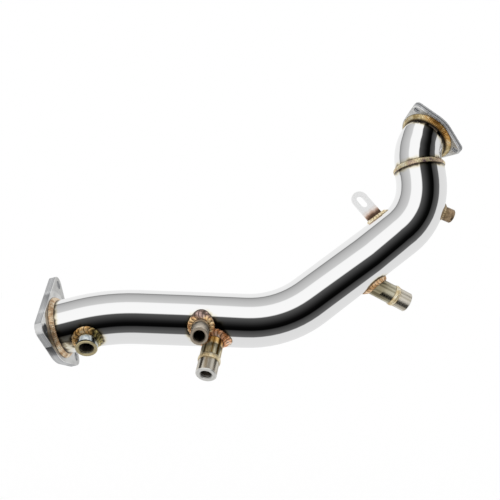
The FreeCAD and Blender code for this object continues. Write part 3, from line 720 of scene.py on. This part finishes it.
def footBead(node, port, radius, leg, bulge, pitch, height, lump, look, peakWay=(0, 0, 1),
             peak=0.0):
    # a saddle-shaped bead where a round fitting stands on the main tube; the filler runs out
    # further over the tube on the peak's side, and the power keeps that peak narrow
    axis, first, second = sideways(ports[port]["axis"])
    seat = np.array(ports[port]["seat"])
    count = int(2 * math.pi * radius / beads["stepLength"])
    lines = [[], [], [], []]
    for angle in np.linspace(0, 2 * math.pi, count, endpoint=False):
        outward = math.cos(angle) * first + math.sin(angle) * second
        wall = seat + outward * radius * mm
        corner = wall + axis * surfaceHeight(wall, axis, radius * mm)
        centre = nearestOnRoute(corner)
        up = (corner - centre) / np.linalg.norm(corner - centre)
        slide = outward - up * outward.dot(up)
        slide = slide / np.linalg.norm(slide)
        reach = leg + peak * max(0.0, outward.dot(peakWay)) ** footPeakPower
        away = corner + slide * reach * mm
        centre = nearestOnRoute(away)
        toe = centre + (away - centre) / np.linalg.norm(away - centre) * route["mainRadius"] * mm
        top = corner + axis * leg * mm
        bulgeWay = (outward + axis) / math.sqrt(2)
        lines[0].append(top)
        lines[1].append((top + toe) / 2 + bulgeWay * bulge * mm)
        lines[2].append(toe)
        lines[3].append(corner - (outward + axis) * beads["sink"] * mm)
    bead(node, lines, pitch, height, lump, look)


footPeakPower = 6
footBeads = {
    "lambda_bung_weld": {
        "port": "lambda", "radius": 12.5, "leg": 5.5, "bulge": 0.8, "pitch": 5.6, "height": 1.2,
        "lump": 2.2, "look": "lambdaBead"},
    "temperature_boss_weld": {
        "port": "boss", "radius": 10.0, "leg": 5.8, "bulge": 0.6, "pitch": 4.6, "height": 1.1,
        "lump": 2.2, "look": "bossBead", "peakWay": (0, 0, 1), "peak": 5.0},
    "lower_probe_base_weld": {
        "port": "lower", "radius": 12.0, "leg": 5.5, "bulge": 0.6, "pitch": 4.6, "height": 1.1,
        "lump": 2.2, "look": "copperBead", "peakWay": (1, 0, 0), "peak": 4.0},
    "side_probe_base_weld": {
        "port": "side", "radius": 12.0, "leg": 5.5, "bulge": 0.6, "pitch": 4.0, "height": 0.9,
        "lump": 1.6, "look": "sideBead"},
    "pressure_stub_weld": {
        "port": "stub", "radius": 9.0, "leg": 4.0, "bulge": 0.4, "pitch": 3.0, "height": 0.5,
        "lump": 0.6, "look": "stubBead"},
}
for node, sizes in footBeads.items():
    footBead(node, **sizes)
print("foot beads done")

probe = {"radius": 12.0, "extension": 29.0, "seamHalf": 3.5, "seamRise": 1.1, "seamSink": 1.5,
         "pitch": 1.8, "height": 0.25, "lump": 0.3}
for name in ("lower", "side"):
    profile = [(probe["radius"], probe["extension"] - probe["seamHalf"]),
               (probe["radius"] + probe["seamRise"], probe["extension"]),
               (probe["radius"], probe["extension"] + probe["seamHalf"]),
               (probe["radius"] - probe["seamSink"], probe["extension"])]
    ringBead(name + "_probe_joint_weld", name, profile, probe["pitch"], probe["height"],
             probe["lump"], "jointBead")
print("probe beads done")


bracket = {
    "half": 10.7, "thick": 1.5, "leg": 4.6, "around": 180, "bulge": 1.2, "sink": 0.6,
    # the bead reaches further over the tube on the near side, and rises less than its leg
    "nearReach": 2.5, "rise": 0.8, "endTurn": 0.35,
    "pitch": 4.0, "height": 0.7, "lump": 1.8,
}


def bracketBead():
    # one bead round the foot of the bracket, along both faces and round its edges
    port = ports["bracket"]
    axis, normal = np.array(port["axis"]), np.array(port["normal"])
    axis = axis / np.linalg.norm(axis)
    normal = normal / np.linalg.norm(normal)
    along = np.cross(normal, axis)
    seat = np.array(port["seat"])
    lines = [[], [], [], []]
    for angle in np.linspace(0, 2 * math.pi, bracket["around"], endpoint=False):
        way = np.array([math.cos(angle), math.sin(angle)])
        spot = way / max(abs(way[0]) / bracket["half"], abs(way[1]) / bracket["thick"])
        wall = seat + (along * spot[0] + normal * spot[1]) * mm
        corner = wall + axis * surfaceHeight(wall, axis, bracket["half"] * mm)
        outward = along * way[0] * bracket["endTurn"] + normal * math.copysign(1.0, way[1])
        outward = outward / np.linalg.norm(outward)
        centre = nearestOnRoute(corner)
        up = (corner - centre) / np.linalg.norm(corner - centre)
        slide = outward - up * outward.dot(up)
        reach = bracket["leg"] * (bracket["nearReach"] if way[1] < 0 else 1.0)
        away = corner + slide / np.linalg.norm(slide) * reach * mm
        centre = nearestOnRoute(away)
        toe = centre + (away - centre) / np.linalg.norm(away - centre) * route["mainRadius"] * mm
        top = corner + axis * bracket["leg"] * bracket["rise"] * mm
        bulgeWay = (outward + axis) / math.sqrt(2)
        lines[0].append(top)
        lines[1].append((top + toe) / 2 + bulgeWay * bracket["bulge"] * mm)
        lines[2].append(toe)
        lines[3].append(corner - axis * bracket["sink"] * mm)
    bead("bracket_weld", lines, bracket["pitch"], bracket["height"], bracket["lump"], "jointBead")


bracketBead()


# Threaded bungs: turned outside, chamfered mouth, real thread in the bore

bungs = {
    "lambda_bung": {"port": "lambda", "outer": 12.5, "bore": 8.2, "root": 9.0, "mouth": 9.5,
                    "foot": None, "height": 14.5, "rim": 0.8, "look": "lambdaSteel"},
    "temperature_boss": {"port": "boss", "outer": 10.0, "bore": 6.2, "root": 7.0, "mouth": 7.3,
                         "foot": None, "height": 39.0, "rim": 0.8, "look": "bossSteel"},
    "lower_probe_bung": {"port": "lower", "outer": 12.0, "bore": 6.2, "root": 7.0, "mouth": 7.5,
                         "foot": 29.0, "height": 49.0, "rim": 0.8, "look": "lowerBung"},
    "side_probe_bung": {"port": "side", "outer": 12.0, "bore": 6.2, "root": 7.0, "mouth": 7.5,
                        "foot": 29.0, "height": 49.0, "rim": 0.8, "look": "sideBung"},
    "pressure_stub": {"port": "stub", "outer": 9.0, "bore": 5.1, "root": 6.0, "mouth": 6.2,
                      "foot": None, "height": 15.5, "rim": 0.8, "look": "stubSteel"},
}
thread = {"pitch": 1.5, "rowsPerPitch": 6, "around": 72, "sharpAngle": 28.0}


def threadedBung(node, sizes):
    axis, first, second = sideways(ports[sizes["port"]]["axis"])
    seat = np.array(ports[sizes["port"]]["seat"])
    angles = np.linspace(0, 2 * math.pi, thread["around"], endpoint=False)
    outward = np.cos(angles)[:, None] * first + np.sin(angles)[:, None] * second

    def ring(radius, height):
        return seat + outward * (np.ones_like(angles) * radius * mm)[:, None] \
            + axis * (np.ones_like(angles) * height * mm)[:, None]

    def footHeights(radius):
        if sizes["foot"] is not None:
            return np.full(len(angles), sizes["foot"])
        return np.array([surfaceHeight(seat + way * radius * mm, axis, 2 * radius * mm) / mm
                         for way in outward])

    top, rim, bore = sizes["height"], sizes["rim"], sizes["bore"]
    outerFoot, boreFoot = footHeights(sizes["outer"]), footHeights(bore)
    lead = top - (sizes["mouth"] - bore)
    rings = [ring(sizes["outer"], outerFoot), ring(sizes["outer"], top - rim),
             ring(sizes["outer"] - rim, top), ring(sizes["mouth"], top), ring(bore, lead)]
    rows = int((lead - boreFoot.max()) / thread["pitch"] * thread["rowsPerPitch"])
    for row in range(1, rows):
        height = lead - row * thread["pitch"] / thread["rowsPerPitch"]
        turnsDown = height / thread["pitch"] - angles / (2 * math.pi)
        tooth = 1 - np.abs(2 * (turnsDown % 1) - 1)
        ends = min(1, row / thread["rowsPerPitch"], (rows - row) / thread["rowsPerPitch"])
        rings.append(ring(bore + (sizes["root"] - bore) * tooth * ends, height))
    rings.append(ring(bore, boreFoot))
    made = gridMesh(node + "_turned", np.array(rings).transpose(1, 0, 2))
    made.data.materials.append(looks[sizes["look"]])
    smoothShade(made, thread["sharpAngle"])
    place(made, node)


for node, sizes in bungs.items():
    threadedBung(node, sizes)
print("threaded bungs done")


# CAD nodes that stay as they are take their materials

kept = {
    "main_tube": "tube", "upper_elbow": "tube", "exhaust_flange": "exhaustPlate",
    "turbo_flange": "turboPlate", "lower_probe_extension": "lowerSteel",
    "side_probe_extension": "sideSteel", "mounting_bracket": "sheet",
}
for node, look in kept.items():
    mesh = nodes[node].data
    mesh.materials.clear()
    mesh.materials.append(looks[look])
print("materials done")


# Camera: about a metre away and level, turned two degrees about its view, as in the photograph

camera = {
    "place": (-0.24686, -1.00142, -0.16367), "right": (0.9991616, -0.0164323, 0.0374978),
    "forward": (0.0164207, 0.9998650, 0.0006163), "up": (-0.0375029, 0.0, 0.9992965),
    "lens": 55.0, "sensor": 36.0, "near": 0.01,
}


def makeCamera():
    data = bpy.data.cameras.new("camera")
    data.lens = camera["lens"]
    data.sensor_width = camera["sensor"]
    data.clip_start = camera["near"]
    made = bpy.data.objects.new("camera", data)
    bpy.context.scene.collection.objects.link(made)
    right, forward, up = (Vector(camera[way]) for way in ("right", "forward", "up"))
    made.matrix_world = Matrix((
        (right.x, up.x, -forward.x, camera["place"][0]),
        (right.y, up.y, -forward.y, camera["place"][1]),
        (right.z, up.z, -forward.z, camera["place"][2]),
        (0, 0, 0, 1)))
    bpy.context.scene.camera = made


makeCamera()


# Studio: even white light all round, and a bent tent of paper that follows the pipe, so that
# every part of the polish mirrors the same strips: white, grey, and one long black flag.
# Angles go round the pipe's middle, from the camera's side toward the lower right.

studio = {
    "tentRadius": 45.0, "tentOverrun": 10.0, "tentColumns": 240, "tentRows": 200,
    "tentEase": 9.0, "elbowSteps": 12,
    # mirrored strips, by the angle on the pipe where they are seen, and their sRGB grey
    "strips": [(-90, 236), (-60, 233), (-56, 231), (-54.6, 130), (-53.2, 122), (-51.6, 162),
               (-44, 182), (-36, 193), (-28.6, 203), (-26.6, 246), (-3.6, 247), (-2.6, 84), (4, 64),
               (8, 48), (12, 29), (16, 10), (23.4, 3), (25, 60), (36, 90), (38.8, 96), (40, 219),
               (90, 224)],
    # strips behind the pipe, by the angle on the tent itself
    "behind": [(-180, 240), (-168, 240), (-167, 150), (-150, 190), (-149, 238)],
    "farBehind": [(141, 226), (142, 96), (152, 60), (153, 238), (180, 240)],
    # strips far off that the fittings and plates mirror, by their own angle
    "farStrips": [(-180, 236), (-75, 231), (-70, 60), (-60, 50), (-56, 215), (-10, 235), (20, 247),
                  (32, 247), (34, 40), (50, 5), (70, 10), (72, 205), (110, 219), (180, 224)],
    "polishGain": 1.09, "soft": 1.0,
    # turn of the strips round the pipe in degrees, by millimetres past the turbo ring
    "twist": [(-560, 6), (-440, 6), (-346, 2), (-300, 0), (-200, -6), (-150, -1), (-110, -6),
              (-40, -7), (-30, -5), (-16, 5), (-6, 18), (6, 27)],
}


def tentPath():
    # the pipe's centreline from beyond one flange to beyond the other
    elbow = [Vector(point) for point in route["elbowEnds"]]
    coming, going = (elbow[1] - elbow[0]).normalized(), (elbow[3] - elbow[2]).normalized()
    points = [Vector(point) for point in mainPoints] + [elbow[1]]
    turn, pivotAxis = coming.angle(going), coming.cross(going).normalized()
    radius = (elbow[2] - elbow[1]).length / (2 * math.sin(turn / 2))
    centre = elbow[1] + pivotAxis.cross(coming) * radius
    for step in range(1, studio["elbowSteps"] + 1):
        swing = Matrix.Rotation(turn * step / studio["elbowSteps"], 3, pivotAxis)
        points.append(centre + swing @ (elbow[1] - centre))
    points.append(elbow[3])
    overrun = studio["tentOverrun"] * mm
    points.insert(0, points[0] + (points[0] - points[1]).normalized() * overrun)
    points.append(points[-1] + (points[-1] - points[-2]).normalized() * overrun)
    return eased(np.array([tuple(point) for point in points]))


def eased(points):
    # even steps along a path, its bends rounded off so that the paper doesn't fold
    reach = np.concatenate([[0], np.cumsum(np.linalg.norm(np.diff(points, axis=0), axis=1))])
    even = np.linspace(0, reach[-1], studio["tentRows"])
    fine = np.array([np.interp(even, reach, points[:, side]) for side in range(3)]).T
    weight = np.exp(-((even[:, None] - even[None]) / (studio["tentEase"] * mm)) ** 2 / 2)
    soft = weight @ fine / weight.sum(1)[:, None]
    return [Vector(point) for point in soft]


def makeTent():
    # white paper that glows as its strips say, for mirrored rays only
    path = tentPath()
    pathLength = sum((path[i + 1] - path[i]).length for i in range(len(path) - 1)) / mm
    eye = Vector(camera["place"])
    lower = (Vector(camera["right"]) - Vector(camera["up"])).normalized()
    turns = np.linspace(-math.pi, math.pi, studio["tentColumns"] + 1)
    rows = []
    for index, point in enumerate(path):
        along = (path[min(index + 1, len(path) - 1)] - path[max(index - 1, 0)]).normalized()
        toEye = eye - point
        toEye = (toEye - along * toEye.dot(along)).normalized()
        aside = along.cross(toEye)
        if aside.dot(lower) < 0:
            aside = -aside
        rows.append([tuple(point + (toEye * math.cos(turn) + aside * math.sin(turn))
                           * studio["tentRadius"] * mm) for turn in turns])
    share = np.repeat(np.linspace(0, 1, len(turns))[None], len(rows), 0)
    pastRing = np.linspace(-1, 0, len(rows)) * pathLength + studio["tentOverrun"]
    spots, twists = zip(*studio["twist"])
    share = share + np.interp(pastRing, spots, twists)[:, None] / 360
    tent = gridMesh("tent", np.array(rows), False, {"turn": share})
    tent.data.shade_smooth()
    made = bpy.data.materials.new("paper_tent")
    made.use_nodes = True
    tree = made.node_tree
    tree.nodes.clear()

    def stripPlace(degrees):
        # where on the tent a mirrored ray ends that leaves the pipe at this angle
        angle = math.radians(degrees)
        offset = math.asin(route["mainRadius"] / studio["tentRadius"] * math.sin(angle))
        return (2 * angle - offset + math.pi) / (2 * math.pi)

    turn = addNode(tree, "ShaderNodeAttribute", attribute_name="turn").outputs["Fac"]
    seen = [(stripPlace(degrees), grey(level)) for degrees, level in studio["strips"]]
    before, after = ([(degrees / 360 + 0.5, grey(level)) for degrees, level in studio[side]]
                     for side in ("behind", "farBehind"))
    strips = ramp(tree, turn, before + seen + after)
    glow = addNode(tree, "ShaderNodeEmission", {"Color": strips,
                                                "Strength": studio["polishGain"]})
    addNode(tree, "ShaderNodeOutputMaterial", {"Surface": glow.outputs[0]})
    made.cycles.emission_sampling = "NONE"
    tent.data.materials.append(made)
    tent.visible_camera = False
    tent.visible_diffuse = False
    tent.visible_shadow = False
    tent.visible_transmission = False


makeTent()


def makeStudio():
    # white all round; shiny fittings outside the paper tent mirror narrower strips far away
    world = bpy.data.worlds.new("studio")
    world.use_nodes = True
    tree = world.node_tree
    way = addNode(tree, "ShaderNodeTexCoord").outputs["Generated"]
    lower = (Vector(camera["right"]) - Vector(camera["up"])).normalized()
    around = calc(tree, "ARCTAN2", dot(tree, way, lower),
                  dot(tree, way, -Vector(camera["forward"])))
    strips = ramp(tree, mapped(tree, around, -math.pi, math.pi),
                  [(degrees / 360 + 0.5, grey(level)) for degrees, level in studio["farStrips"]])
    shiny = addNode(tree, "ShaderNodeLightPath").outputs["Is Glossy Ray"]
    light = tree.nodes["Background"]
    tree.links.new(mixed(tree, shiny, grey(255), strips), light.inputs["Color"])
    light.inputs["Strength"].default_value = studio["soft"]
    # only rays that leave the metal find the world, so none passes through the tent
    world.cycles.sampling_method = "NONE"
    bpy.context.scene.world = world


makeStudio()


# half its width, and how far it lies below the part, in metres
ground = {"half": 6.0, "drop": 0.35}


def makeFloor():
    # a wide pale floor well below the part, left out of what the metal mirrors
    half, level = ground["half"], sizeBefore[0].z - ground["drop"]
    data = bpy.data.meshes.new("floor")
    data.from_pydata([(-half, -half, level), (half, -half, level), (half, half, level),
                      (-half, half, level)], [], [(0, 1, 2, 3)])
    floor = bpy.data.objects.new("floor", data)
    bpy.context.scene.collection.objects.link(floor)
    made, _, shader = material("matt_white_floor")
    # matt white paper: no shine, and an albedo near 1 under the even light
    shader.inputs["Base Color"].default_value = grey(255)
    shader.inputs["Roughness"].default_value = 1.0
    shader.inputs["Specular IOR Level"].default_value = 0.0
    data.materials.append(made)
    floor.visible_glossy = False


makeFloor()

bpy.context.scene.view_settings.view_transform = "Standard"
